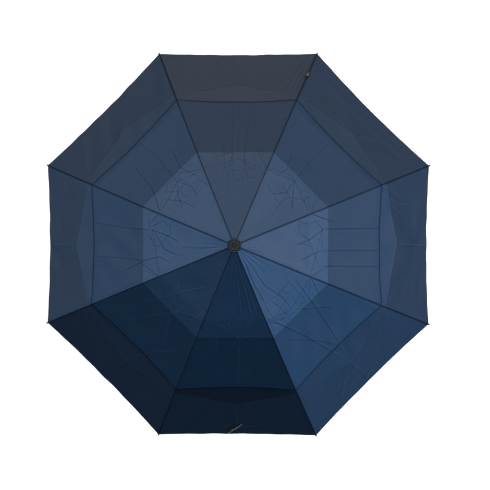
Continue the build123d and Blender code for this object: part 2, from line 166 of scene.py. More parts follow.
# ---- creases, one list per panel
# Panels go round from the one centred 45 degrees from +X. (out, side) in mm: out along the panel's centre
# line from the shaft, side towards its later rib. Then the height of the crease and its half width.
A_NODE = [(196, 8), (198, -6), (194, -10), (187, -34), (199, 14), (197, 4), (193, -12), (197, 36)]
C_NODE = [(381, -14), (379, -2), (384, -6), (380, 2), (385, 8), (381, -1), (387, -4), (378, 2)]
CENTRE = [0.35, 0.25, 0.35, 0.6, 0.5, 0.9, 1.0, 0.8]
EXTRA = {
    0: [
        ([(140, 22), (168, 2), (196, 8)], 0.8, 3.0),
        ([(150, -32), (172, -12), (196, 8)], -0.7, 3.0),
        ([(118, -8), (160, -4)], 0.6, 2.6),
        ([(196, 8), (262, 16), (340, 14)], 0.45, 4.0),
        ([(170, 44), (205, 40), (240, 58)], 0.6, 3.4),
        ([(386, -20), (430, -74)], 0.8, 7.0),
    ],
    1: [
        ([(120, -14), (210, -22), (338, -34)], 0.45, 3.0),
        ([(150, 6), (232, 8), (338, 10)], 0.5, 2.8),
        ([(100, 10), (180, 24), (250, 30)], -0.45, 3.0),
        ([(170, -40), (198, -6)], 0.6, 3.0),
        ([(198, -6), (168, 30), (150, 26)], 0.5, 2.6),
        ([(352, -128), (400, -152), (456, -180)], -1.3, 4.5),
        ([(352, -112), (402, -138), (440, -160)], 0.9, 4.5),
    ],
    2: [
        ([(138, -18), (166, -24), (194, -10)], 0.8, 3.0),
        ([(142, 26), (176, 10), (194, -10)], -0.8, 3.0),
        ([(126, 4), (158, 16), (186, 40)], 0.6, 2.8),
        ([(170, -50), (214, -36), (262, -52)], 0.7, 3.2),
        ([(194, -10), (268, -14), (340, -8)], 0.5, 3.6),
        ([(168, 68), (224, 44), (300, 38)], 0.6, 4.0),
    ],
    3: [
        ([(124, -6), (152, -22), (187, -34)], 0.9, 3.0),
        ([(130, 24), (160, 10), (187, -34)], -0.8, 3.0),
        ([(146, 40), (170, 26), (205, 34), (262, 62)], 0.8, 3.4),
        ([(187, -34), (262, -40), (338, -52)], 0.7, 3.6),
        ([(205, 34), (270, 30), (338, 26)], 0.6, 3.6),
        ([(120, 2), (80, 6), (40, 4)], 0.5, 2.6),
    ],
    4: [
        ([(96, 30), (168, -14), (250, -62)], 0.8, 3.4),
        ([(120, -44), (190, -8), (300, 54)], 0.8, 3.6),
        ([(199, 14), (280, -40), (338, -84)], 0.6, 4.0),
        ([(140, 12), (199, 14), (232, 46)], -0.8, 3.0),
        ([(260, 90), (310, 40), (385, 8)], 0.7, 4.4),
        ([(396, 40), (440, 96)], -0.9, 7.0),
    ],
    5: [
        ([(44, 10), (96, 22), (168, 40)], 1.1, 2.6),
        ([(44, 14), (92, 30), (160, 54)], -1.0, 2.6),
        ([(40, 4), (96, 8), (168, 16)], 0.8, 2.6),
        ([(170, 36), (206, 6), (238, -10)], 0.9, 3.0),
        ([(178, -34), (206, 6), (240, 34)], -0.8, 3.0),
        ([(206, 6), (270, 10), (340, 4)], 0.7, 3.4),
        ([(168, -62), (206, -40), (250, -46)], 0.7, 3.2),
        ([(440, -40), (449, -4), (440, 30), (434, 70)], 0.9, 4.0),
    ],
    6: [
        ([(48, -12), (92, -30), (138, -42)], 1.0, 2.8),
        ([(60, -8), (112, -18), (160, -8), (193, -12)], -0.8, 3.0),
        ([(168, -64), (262, -34), (387, -4)], 0.9, 4.0),
        ([(150, 44), (258, 26), (387, -4)], 0.9, 4.0),
        ([(193, -12), (224, 20), (262, 60)], 0.7, 3.4),
        ([(236, -72), (290, -24), (338, 6)], -0.6, 4.0),
        ([(402, -30), (446, -86)], 0.9, 7.0),
    ],
    7: [
        ([(196, 37), (270, 38), (344, 40)], 0.9, 3.2),
        ([(196, -12), (268, -12), (344, -12)], 0.8, 3.2),
        ([(189, -47), (262, -48), (344, -50)], 0.8, 3.2),
        ([(138, 2), (168, 12), (198, 36)], 0.8, 2.8),
        ([(150, -34), (176, -20), (196, -12)], -0.8, 2.8),
        ([(142, 28), (168, 12), (189, -47)], 0.6, 2.8),
        ([(352, 118), (388, 96), (410, 100)], 0.9, 5.0),
        ([(352, 104), (400, 62)], -0.8, 5.0),
    ],
}


def crease_list(g):
    """Every crease of panel g: what joint tension makes in each panel, then its own."""
    a, c = A_NODE[g], C_NODE[g]
    ra, rv = R_A * math.cos(HALF), R_VENT * math.cos(HALF)
    sa, sv = R_A * math.sin(HALF), R_VENT * math.sin(HALF)
    out = [
        ([(ra, -sa), (a[0], a[1]), (ra, sa)], 0.55, 3.0),
        ([(rv + 4, -sv), (c[0], c[1]), (rv + 4, sv)], 0.55, 4.0),
        ([(c[0], c[1]), (466, c[1] * 0.4)], CENTRE[g], 4.5),
        ([(a[0], a[1]), (c[0], c[1])], 0.3 * CENTRE[g], 5.0),
    ]
    rng = np.random.default_rng(SEED + g)
    for side in (-1, 1):
        for n in range(3):
            # short wrinkles that fan out from the joint and from the vent corner
            turn = rng.uniform(0.25, 1.0)
            reach = rng.uniform(34, 74)
            x, y = ra + 2, side * sa
            out.append(
                (
                    [(x, y), (x + reach * math.cos(turn), y - side * reach * math.sin(turn))],
                    rng.choice([-0.4, 0.45]),
                    2.8,
                )
            )
            turn = rng.uniform(-0.1, 1.1)
            reach = rng.uniform(40, 95)
            x, y = rv + 6, side * (sv - 2)
            out.append(
                (
                    [(x, y), (x + reach * math.cos(turn), y - side * reach * math.sin(turn))],
                    rng.choice([-0.3, 0.3]),
                    4.0,
                )
            )
    # a net of short crumples where the cloth folds beside the joint
    spots = [
        (a[0] + dx + rng.uniform(-9, 9), a[1] + dy + rng.uniform(-9, 9))
        for dx in (-50, -22, 6)
        for dy in (-42, -14, 14, 42)
    ]
    for m, p in enumerate(spots):
        for q in spots[m + 1 :]:
            reach = math.dist(p, q)
            if any(max(math.dist(p, w), math.dist(q, w)) < reach for w in spots) or rng.random() < 0.12:
                continue
            mid = ((p[0] + q[0]) / 2 + rng.uniform(-4, 4), (p[1] + q[1]) / 2 + rng.uniform(-4, 4))
            out.append(([p, mid, q], rng.uniform(0.35, 0.75) * rng.choice([-1, 1]), 2.6))
    return out + EXTRA[g]


CREASES = [crease_list(g) for g in range(8)]
CRISP = 0.45  # how narrow a crease is for its listed width


def crease_height(g, x, y):
    """Height of the creases at plan points, and their painted shading: painted shade along each crease and a
    painted highlight beside it.
    """
    total, painted_crease_shading = np.zeros_like(x), np.zeros_like(x)
    ease = np.interp(x, [205, 240, 330, 345], [1, 0.5, 0.5, 1])
    core = np.interp(x, [200, 240], [1.5, 1.9])
    for points, height, width in CREASES[g]:
        best = np.full(x.shape, 1e9)
        length = sum(math.dist(p, q) for p, q in zip(points, points[1:]))
        done, where = 0.0, np.zeros_like(x)
        for p, q in zip(points, points[1:]):
            step = math.dist(p, q)
            ux, uy = (q[0] - p[0]) / step, (q[1] - p[1]) / step
            f = np.clip((x - p[0]) * ux + (y - p[1]) * uy, 0, step)
            d = np.hypot(x - p[0] - f * ux, y - p[1] - f * uy)
            near = d < best
            best = np.where(near, d, best)
            where = np.where(near, (done + f) / length, where)
            done += step
        fade = np.clip(np.minimum(where, 1 - where) * 5 + 0.35, 0, 1)
        sharp = CRISP * width
        ridge = np.exp(-np.sqrt(best**2 + 0.12) / sharp)
        shape = (ridge - 0.25 * np.exp(-((best / sharp - 2.6) ** 2))) * fade
        total += 0.6 * height * shape * ease
        painted_crease_shading -= np.exp(-((best / core) ** 2)) * fade * abs(height)
        painted_crease_shading += 0.4 * np.exp(-(((best - 3.2) / 1.4) ** 2)) * fade * abs(height)
    return total, painted_crease_shading


# slow random waves in each panel: frequency, direction, phase and height
TAU = 2 * math.pi
WAVES = []
for g in range(8):
    rng = np.random.default_rng(100 + SEED + g)
    WAVES.append(
        [
            (rng.uniform(0.012, 0.05), rng.uniform(0, TAU), rng.uniform(0, 6.3), rng.uniform(0.2, 0.6))
            for _ in range(9)
        ]
    )
# each list goes round the panels as above: how far the break in slope shows beyond the second knuckle
BREAK = [0.16, 0.14, 0.16, 0.3, 0.25, 0.3, 0.3, 0.34]
# painted crease shading: creases are painted dark where the cloth is light, and light where it is dark (below
# zero)
CATCH = [1.0, 0.8, 1.0, 1.0, -0.5, -0.6, 0.9, 1.0]
# how far the outer hem is pulled in between the ribs, as a share of the full pull
SLACK = [0.9, 0.1, 0.6, 0.9, 0.7, 0.1, 0.7, 1.0]
# painted light: how much lighter the wedge between the vent and the crease across the panel is painted, for its
# shallower slope (below zero, painted darker)
WEDGE_PAINTED_LIGHT = [0.1, 0.05, 0.1, 0.2, 0.1, -0.25, 0.05, 0.3]
# height in mm of the gathers by the cap, and of the ripples along the outer hem
GATHER = [0.14, 0.1, 0.14, 0.2, 0.24, 0.42, 0.3, 0.2]
BAND = [0.3, 0.12, 0.15, 0.2, 0.25, 0.15, 0.35, 0.2]


def cloth(layer, g, s, t):
    """Points of the cloth in mm for panel g: s runs out along the rib and t goes from rib g to the next.

    Also each point's distance from its rib, its painted crease shading, and its plan place along and across the
    panel.
    """
    r, z = rib_line(layer, s)
    r1, z1 = rib_line(layer, s + 0.5)
    a0, a1, ac = rib_angle(g), rib_angle(g + 1), rib_angle(g) + HALF
    px = r * ((1 - t) * math.cos(a0) + t * math.cos(a1))
    py = r * ((1 - t) * math.sin(a0) + t * math.sin(a1))
    x = px * math.cos(ac) + py * math.sin(ac)
    y = -px * math.sin(ac) + py * math.cos(ac)
    dr, dz = (r1 - r) * math.cos(HALF), z1 - z
    size = np.hypot(dr, dz)
    nr, nz = -dz / size, dr / size
    w4 = 4 * t * (1 - t)
    tent = 1 - np.abs(2 * t - 1)
    own = np.minimum(t, 1 - t) * r * 2 * math.sin(HALF)
    if layer == "upper":
        sag = np.interp(s, [0, 20, 176, 300, 392], [0, 0.3, 2.2, 3.6, 1.6])
    else:
        sag = np.interp(s, [215, 300, 370, 460, 560], [3.4, 6.4, 6.0, 6.0, 3.5])
    up = -sag * w4
    # the break in slope at each joint runs out towards the panel's middle
    node = 0.5 + A_NODE[g][1] / (2 * 190 * math.sin(HALF))
    peak = np.where(t < node, t / node, (1 - t) / (1 - node))
    v = (A_NODE[g][0] - R_A * math.cos(HALF)) / 0.9 * peak
    over = s - S_A
    settle = np.exp(-((np.maximum(over - v, 0) / 60) ** 2))
    up += 0.6 * math.tan(math.radians(MID_SLOPE - TOP_SLOPE)) * np.clip(over, 0, v) * settle
    v = 17 * np.clip(t / 0.06, 0, 1) * np.clip((1 - t) / 0.06, 0, 1) + 62 * tent
    over = s - S_C
    settle = np.exp(-((np.maximum(over - v, 0) / 70) ** 2))
    up += BREAK[g] * math.tan(math.radians(TAIL_SLOPE - MID_SLOPE)) * np.clip(over, 0, v) * settle
    for f, turn, phase, size_mm in WAVES[g]:
        lie = x * math.cos(turn) + y * math.sin(turn)
        up += size_mm * 0.5 * w4 * np.sin(TAU * f * 0.45 * lie + phase)
    pull = np.clip((s - 16) / 20, 0, 1) * np.exp(-(((s - 24) / 46) ** 2))
    up += GATHER[g] * pull * np.sin(t * 2 * math.pi * 5 + g) * np.clip(w4 * 2, 0, 1)
    if layer == "lower":
        fold = np.exp(-(((s - 508) / 26) ** 2)) * np.clip(w4 * 1.3, 0, 1)
        up += BAND[g] * 0.8 * fold * np.sin((s - 470 + 9 * np.sin(3 * t + g)) / 5.6)
        hem = np.exp(-(((s - S_HEM) / 9) ** 2))
        up += 0.45 * hem * np.sin(2 * math.pi * 6 * t + 2 * g) * w4
    crease, painted_crease_shading = crease_height(g, x, y)
    gate = np.clip(own / 5, 0, 1)
    up += crease * gate * (1 if layer == "upper" else 1.25)
    # the sewn seam stands proud over the rib
    up += 0.55 * np.exp(-((own / 1.7) ** 2)) - 0.25 * np.exp(-(((own - 4.6) / 2.2) ** 2))
    painted_crease_shading = painted_crease_shading * CATCH[g] if layer == "upper" else -0.9 * painted_crease_shading
    points = np.stack([px + nr * up * math.cos(ac), py + nr * up * math.sin(ac), z + nz * up], -1)
    return points, own, painted_crease_shading * gate, x, y


def cloth_normal(layer, g, s, t):
    """Unit normals of the cloth, from its slope along both directions."""
    ds, dt = 0.8, 0.004
    lo, hi = np.clip(t - dt, 0, 1), np.clip(t + dt, 0, 1)
    along_s = cloth(layer, g, s + ds, t)[0] - cloth(layer, g, s - ds, t)[0]
    along_t = cloth(layer, g, s, hi)[0] - cloth(layer, g, s, lo)[0]
    n = np.cross(along_s, along_t)
    return n / np.linalg.norm(n, axis=-1, keepdims=True)


THICK = 0.42
# painted light and shade: how light each panel's cloth is painted for how the light falls on its side, and the
# panels made to shine less so they look more shaded
PANEL_PAINTED_LIGHT = [0.9, 0.7, 1.0, 1.2, 0.6, 0.5, 1.3, 1.1]
SHADED_PANELS_SHINE = {4: 0.5, 5: 0.3}


def cloth_piece(name, layer, g, t_values, lo, hi, rows):
    """A thin closed sheet of panel g between the curves lo(t) and hi(t), its flat size and its area.

    Its UV maps carry places on the cloth, distances from the edges, and tone for the material: the painted light
    and shade of each panel and of its creases.
    """
    t_values = np.asarray(t_values, float)
    u = np.linspace(0, 1, rows)
    low, high = lo(t_values), hi(t_values)
    s = low[None, :] + (high - low)[None, :] * u[:, None]
    t = np.broadcast_to(t_values[None, :], s.shape)
    p, own, painted_crease_shading, x, y = cloth(layer, g, s, t)
    n = cloth_normal(layer, g, s, t)
    top = p + n * (THICK / 2)
    under = p - n * (THICK / 2)
    m, c = s.shape
    count = m * c
    index = np.arange(count).reshape(m, c)
    a, b, d, e = index[:-1, :-1], index[1:, :-1], index[1:, 1:], index[:-1, 1:]
    face_top = np.stack([a, b, d, e], -1).reshape(-1, 4)
    outward, sideways = top[-1, c // 2] - top[0, c // 2], top[m // 2, -1] - top[m // 2, 0]
    if np.dot(np.cross(outward, sideways), n[m // 2, c // 2]) < 0:
        face_top = face_top[:, ::-1]
    face_under = face_top[:, ::-1] + count
    loop = np.concatenate([index[0, :-1], index[:-1, -1], index[-1, :0:-1], index[:0:-1, 0]])
    nxt = np.roll(loop, -1)
    rim = np.stack([loop, nxt, nxt + count, loop + count], -1)
    first, second = face_top[0, 0], face_top[0, 1]
    flip = not any((loop == second) & (nxt == first))
    if flip:
        rim = rim[:, ::-1]
    faces = np.concatenate([face_top, face_under, rim])
    verts = np.concatenate([top.reshape(-1, 3), under.reshape(-1, 3)]) / 1000
    mesh = bpy.data.meshes.new(name)
    mesh.vertices.add(len(verts))
    mesh.vertices.foreach_set("co", verts.ravel())
    mesh.loops.add(faces.size)
    mesh.loops.foreach_set("vertex_index", faces.ravel())
    mesh.polygons.add(len(faces))
    mesh.polygons.foreach_set("loop_start", np.arange(0, faces.size, 4))
    mesh.update(calc_edges=True)
    mesh.polygons.foreach_set("use_smooth", np.ones(len(faces), bool))
    hem_s = (S_VENT if layer == "upper" else S_HEM) - hem_pull(layer, t, g)
    # painted light and shade: each panel's cloth made lighter or darker as a whole
    painted_panel_shading = np.full(s.shape, PANEL_PAINTED_LIGHT[g])
    if layer == "lower":
        # painted light: the shallow wedge between the vent and the crease across the panel is painted lighter, and
        # darker on panels whose value is below zero
        start, (cx, cy) = R_VENT * math.cos(HALF) + 4, C_NODE[g]
        wedge = np.interp(y, [-R_VENT * math.sin(HALF), cy, R_VENT * math.sin(HALF)], [start, cx, start])
        inside = np.clip((wedge - x) / 5 + 0.5, 0, 1)
        painted_panel_shading = painted_panel_shading * (1 + WEDGE_PAINTED_LIGHT[g] * (inside - 0.35 * (1 - inside)))
    maps = {
        "cloth": (y / 1000, s / 1000),
        "edge": (own / 1000, (hem_s - s) / 1000),
        "tone": (painted_panel_shading, painted_crease_shading * 0.25 + 0.5),
        "shine_of_shaded_panels": (np.full(s.shape, SHADED_PANELS_SHINE.get(g, 1.0)), np.zeros_like(s)),
    }
    for label, (mu, mv) in maps.items():
        layer_uv = mesh.uv_layers.new(name=label)
        uv = np.stack([np.concatenate([mu.ravel()] * 2), np.concatenate([mv.ravel()] * 2)], -1)
        layer_uv.data.foreach_set("uv", uv[faces.ravel()].ravel().astype(np.float32))
    normals = np.concatenate([n.reshape(-1, 3), -n.reshape(-1, 3)])
    mesh.validate()
    if len(mesh.vertices) == len(normals):
        mesh.normals_split_custom_set_from_vertices(normals.tolist())
    obj = bpy.data.objects.new(name, mesh)
    bpy.context.scene.collection.objects.link(obj)
    side = top[1:, :-1] - top[:-1, :-1]
    across = top[:-1, 1:] - top[:-1, :-1]
    area = float(np.linalg.norm(np.cross(side, across), axis=-1).sum()) / 1e6
    long = float((high - low).max()) / 1000
    wide = float(np.linalg.norm(top[:, -1] - top[:, 0], axis=-1).max()) / 1000
    wide, long = max(wide, 0.0102), max(long, 0.0102)
    if area > wide * long:
        wide = area / long * 1.02
    if area < 0.32 * wide * long:
        wide = area / (0.34 * long)
    return obj, (wide, long), area


def hem_pull(layer, t, g):
    """How far the hem is pulled in between the ribs, in mm."""
    return (6.4 if layer == "upper" else 5.6 * SLACK[g]) * 4 * t * (1 - t)


# ---- node helpers
def new_material(name):
    m = bpy.data.materials.new(name)
    m.use_nodes = True
    nt = m.node_tree
    nt.nodes.clear()
    out = nt.nodes.new("ShaderNodeOutputMaterial")
    bsdf = nt.nodes.new("ShaderNodeBsdfPrincipled")
    nt.links.new(bsdf.outputs[0], out.inputs[0])
    return m, nt, bsdf


def calc(nt, op, a, b=None, clamp=False):
    n = nt.nodes.new("ShaderNodeMath")
    n.operation = op
    n.use_clamp = clamp
    for i, v in enumerate((a, b)):
        if v is None:
            continue
        if isinstance(v, (int, float)):
            n.inputs[i].default_value = v
        else:
            nt.links.new(v, n.inputs[i])
    return n.outputs[0]


def ramp(nt, value, lo, hi, out_lo=0.0, out_hi=1.0):
    n = nt.nodes.new("ShaderNodeMapRange")
    n.interpolation_type = "SMOOTHSTEP"
    nt.links.new(value, n.inputs[0])
    for i, v in enumerate((lo, hi, out_lo, out_hi)):
        n.inputs[i + 1].default_value = v
    return n.outputs[0]


def noise(nt, vector, scale, detail=3.0, rough=0.5):
    n = nt.nodes.new("ShaderNodeTexNoise")
    n.inputs["Scale"].default_value = scale
    n.inputs["Detail"].default_value = detail
    n.inputs["Roughness"].default_value = rough
    nt.links.new(vector, n.inputs["Vector"])
    return n.outputs["Fac"]


def mix_colour(nt, fac, a, b, blend="MIX"):
    n = nt.nodes.new("ShaderNodeMix")
    n.data_type = "RGBA"
    n.blend_type = blend
    if isinstance(fac, (int, float)):
        n.inputs[0].default_value = fac
    else:
        nt.links.new(fac, n.inputs[0])
    for i, v in ((6, a), (7, b)):
        if isinstance(v, tuple):
            n.inputs[i].default_value = (*v, 1)
        else:
            nt.links.new(v, n.inputs[i])
    return n.outputs[2]


def scaled(nt, vector, x, y, z=1.0):
    n = nt.nodes.new("ShaderNodeMapping")
    n.inputs["Scale"].default_value = (x, y, z)
    nt.links.new(vector, n.inputs["Vector"])
    return n.outputs[0]


def uv_map(nt, name):
    n = nt.nodes.new("ShaderNodeUVMap")
    n.uv_map = name
    return n.outputs[0]


def split(nt, vector):
    n = nt.nodes.new("ShaderNodeSeparateXYZ")
    nt.links.new(vector, n.inputs[0])
    return n.outputs[0], n.outputs[1]


def bump(nt, height, strength, distance, normal=None):
    n = nt.nodes.new("ShaderNodeBump")
    n.inputs["Strength"].default_value = strength
    n.inputs["Distance"].default_value = distance
    nt.links.new(height, n.inputs["Height"])
    if normal is not None:
        nt.links.new(normal, n.inputs["Normal"])
    return n.outputs[0]


def stitch_row(nt, across, run, offset):
    """Short dashes along run, in a row at an offset from an edge."""
    away = calc(nt, "ABSOLUTE", calc(nt, "SUBTRACT", across, offset))
    beat = calc(nt, "FRACT", calc(nt, "MULTIPLY", run, 380.0))
    dashes = calc(nt, "GREATER_THAN", beat, 0.35)
    return calc(nt, "MULTIPLY", ramp(nt, away, 0.0002, 0.0004, 1.0, 0.0), dashes)


def cloth_material(name, base, seam_and_shade_width, single_to=None):
    """Pongee: plain weave, dark rib seams with stitches and painted shade beside them, a turned hem with painted
    shade along it, and creases that catch the light, with painted shade and painted highlights along them.
    """

    def shade(k):
        return tuple(k * v for v in base)

    m, nt, bsdf = new_material(name)
    fabric, edge, tone = uv_map(nt, "cloth"), uv_map(nt, "edge"), uv_map(nt, "tone")
    side, out = split(nt, fabric)
    own, hem = split(nt, edge)
    painted_panel_shading, painted_crease_shading = split(nt, tone)
    warp = nt.nodes.new("ShaderNodeTexWave")
    weft = nt.nodes.new("ShaderNodeTexWave")
    weft.bands_direction = "Y"
    for w in (warp, weft):
        w.inputs["Scale"].default_value = 700.0
        w.inputs["Distortion"].default_value = 0.6
        w.inputs["Detail"].default_value = 1.0
        nt.links.new(fabric, w.inputs["Vector"])
    weave = calc(nt, "MAXIMUM", warp.outputs["Fac"], weft.outputs["Fac"])
    cloud = noise(nt, fabric, 9.0, 4.0, 0.55)
    slub = noise(nt, scaled(nt, fabric, 620.0, 420.0), 1.0, 3.0, 0.7)
    crumple = noise(nt, fabric, 120.0, 5.0, 0.6)
    colour = mix_colour(nt, cloud, shade(0.86), shade(1.14))
    colour = mix_colour(nt, ramp(nt, slub, 0.3, 0.7, 0.0, 0.3), colour, shade(1.7))
    shine = 0.8
    if single_to:
        # painted shade: where the second canopy lies under this one, the cloth is painted darker and shines less,
        # in place of the light that comes through a single layer
        double_layer_shade = ramp(nt, out, single_to - 0.0012, single_to + 0.0012)
        shine = ramp(nt, out, single_to - 0.0012, single_to + 0.0012, 0.8, 0.52)
        colour = mix_colour(nt, double_layer_shade, colour, shade(0.74))
        # painted shade: a dark line just beyond the lower canopy's inner edge, which lies beneath
        line = calc(nt, "ABSOLUTE", calc(nt, "SUBTRACT", out, single_to + 0.002))
        colour = mix_colour(nt, ramp(nt, line, 0.0008, 0.0024, 0.28, 0.0), colour, shade(0.35))
    # painted crease shading: a painted highlight beside each crease and painted shade along its core
    light = calc(nt, "MULTIPLY", calc(nt, "SUBTRACT", painted_crease_shading, 0.5, True), 2.2, True)
    dark = calc(nt, "MULTIPLY", calc(nt, "SUBTRACT", 0.5, painted_crease_shading, True), 3.0, True)
    colour = mix_colour(nt, light, colour, tuple(1.9 * v + 0.006 for v in base))
    colour = mix_colour(nt, dark, colour, shade(0.3))
    # the rib seam is darkened: its own dark seam, and painted shade beside it, wider on the lower cloth
    seam = ramp(nt, own, 0.3 * seam_and_shade_width, seam_and_shade_width, 0.8, 0.0)
    colour = mix_colour(nt, seam, colour, (0.002, 0.006, 0.016))
    stitches = calc(nt, "MAXIMUM", stitch_row(nt, own, out, 0.003), stitch_row(nt, hem, side, 0.0065))
    colour = mix_colour(nt, calc(nt, "MULTIPLY", stitches, 0.6), colour, (0.004, 0.008, 0.02))
    # the hem's edge band is darkened: the turned cloth's own dark, and painted shade along the edge
    turned = ramp(nt, hem, 0.0018, 0.0038, 0.8, 0.0)
    colour = mix_colour(nt, turned, colour, (0.002, 0.005, 0.014))
    # painted shade: the cloth is darker close round the cap and its washer
    if single_to:
        colour = mix_colour(nt, ramp(nt, out, 0.003, 0.0085, 0.85, 0.0), colour, (0.001, 0.003, 0.009))
    # the painted light and shade of each panel multiplies the colour
    tint = nt.nodes.new("ShaderNodeCombineColor")
    for i in range(3):
        nt.links.new(painted_panel_shading, tint.inputs[i])
    colour = mix_colour(nt, 1.0, colour, tint.outputs[0], "MULTIPLY")
    nt.links.new(colour, bsdf.inputs["Base Color"])
    rough = ramp(nt, crumple, 0.25, 0.75, 0.5, 0.62)
    nt.links.new(rough, bsdf.inputs["Roughness"])
    # painted shade: the south-west and south panels shine less, to look more shaded
    shine = calc(nt, "MULTIPLY", shine, split(nt, uv_map(nt, "shine_of_shaded_panels"))[0])
    dull = calc(nt, "MAXIMUM", seam, turned)
    dull = calc(nt, "MAXIMUM", dull, calc(nt, "MULTIPLY", dark, 0.55))
    level = calc(nt, "MULTIPLY", shine, calc(nt, "SUBTRACT", 1.0, dull, True))
    nt.links.new(level, bsdf.inputs["Specular IOR Level"])
    first = bump(nt, weave, 0.35, 0.00008)
    second = bump(nt, crumple, 0.35, 0.0006, first)
    step = ramp(nt, hem, 0.0066, 0.0072, 1.0, 0.0)
    folded = calc(nt, "ADD", step, calc(nt, "MULTIPLY", stitches, -0.6))
    third = bump(nt, folded, 0.8, 0.0003, second)
    nt.links.new(third, bsdf.inputs["Normal"])
    return m


def cap_material():
    """The cap's moulded nylon: a lighter olive rim, a painted highlight on its bevel, round a darker recess."""
    m, nt, bsdf = new_material("dark_cap")
    pos = nt.nodes.new("ShaderNodeNewGeometry").outputs["Position"]
    flat = nt.nodes.new("ShaderNodeVectorMath")
    flat.operation = "LENGTH"
    nt.links.new(scaled(nt, pos, 1, 1, 0), flat.inputs[0])
    radius = flat.outputs["Value"]
    grain = noise(nt, pos, 700.0, 4.0, 0.6)
    inner, outer = ramp(nt, radius, 0.0076, 0.0086), ramp(nt, radius, 0.0100, 0.0114, 1.0, 0.0)
    # painted highlight: the bevelled rim between these radii is lighter olive
    rim = calc(nt, "MULTIPLY", inner, outer)
    colour = mix_colour(nt, rim, (0.013, 0.0165, 0.0155), (0.028, 0.037, 0.036))
    colour = mix_colour(nt, ramp(nt, radius, 0.0104, 0.0116, 0.0, 0.9), colour, (0.003, 0.004, 0.006))
    colour = mix_colour(nt, ramp(nt, grain, 0.5, 0.75, 0.0, 0.4), colour, (0.03, 0.033, 0.03))
    nt.links.new(colour, bsdf.inputs["Base Color"])
    nt.links.new(ramp(nt, grain, 0.3, 0.7, 0.42, 0.6), bsdf.inputs["Roughness"])
    bsdf.inputs["Specular IOR Level"].default_value = 0.25
    nt.links.new(bump(nt, grain, 0.4, 0.00003), bsdf.inputs["Normal"])
    return m


def hard_material(
    name, base, metallic, rough, accent, grain, streak=(1, 1, 1), coat=0.0, depth=0.00003, shine=0.5
):
    """Metal, lacquer, plastic or rubber: fine grain, long streaks and dull worn patches."""
    m, nt, bsdf = new_material(name)
    pos = nt.nodes.new("ShaderNodeTexCoord").outputs["Object"]
    fine = noise(nt, scaled(nt, pos, *streak), grain, 4.0, 0.6)
    patch = noise(nt, pos, 34.0, 5.0, 0.65)
    speck = noise(nt, pos, 1500.0, 2.0, 0.5)
    colour = mix_colour(nt, ramp(nt, patch, 0.35, 0.75), base, tuple(v * 0.8 for v in base))
    worn = calc(nt, "MULTIPLY", ramp(nt, patch, 0.56, 0.72), ramp(nt, fine, 0.5, 0.68))
    colour = mix_colour(nt, calc(nt, "MULTIPLY", worn, 0.7), colour, accent)
    colour = mix_colour(nt, calc(nt, "MULTIPLY", ramp(nt, speck, 0.58, 0.7), 0.25), colour, accent)
    nt.links.new(colour, bsdf.inputs["Base Color"])
    nt.links.new(ramp(nt, fine, 0.2, 0.8, rough * 0.78, min(rough * 1.3, 1.0)), bsdf.inputs["Roughness"])
    bsdf.inputs["Metallic"].default_value = metallic
    bsdf.inputs["Specular IOR Level"].default_value = shine
    bsdf.inputs["Coat Weight"].default_value = coat
    bsdf.inputs["Coat Roughness"].default_value = 0.18
    first = bump(nt, fine, 0.5, depth)
    nt.links.new(bump(nt, speck, 0.4, depth * 0.5, first), bsdf.inputs["Normal"])
    return m


NAVY = (0.007, 0.035, 0.09)
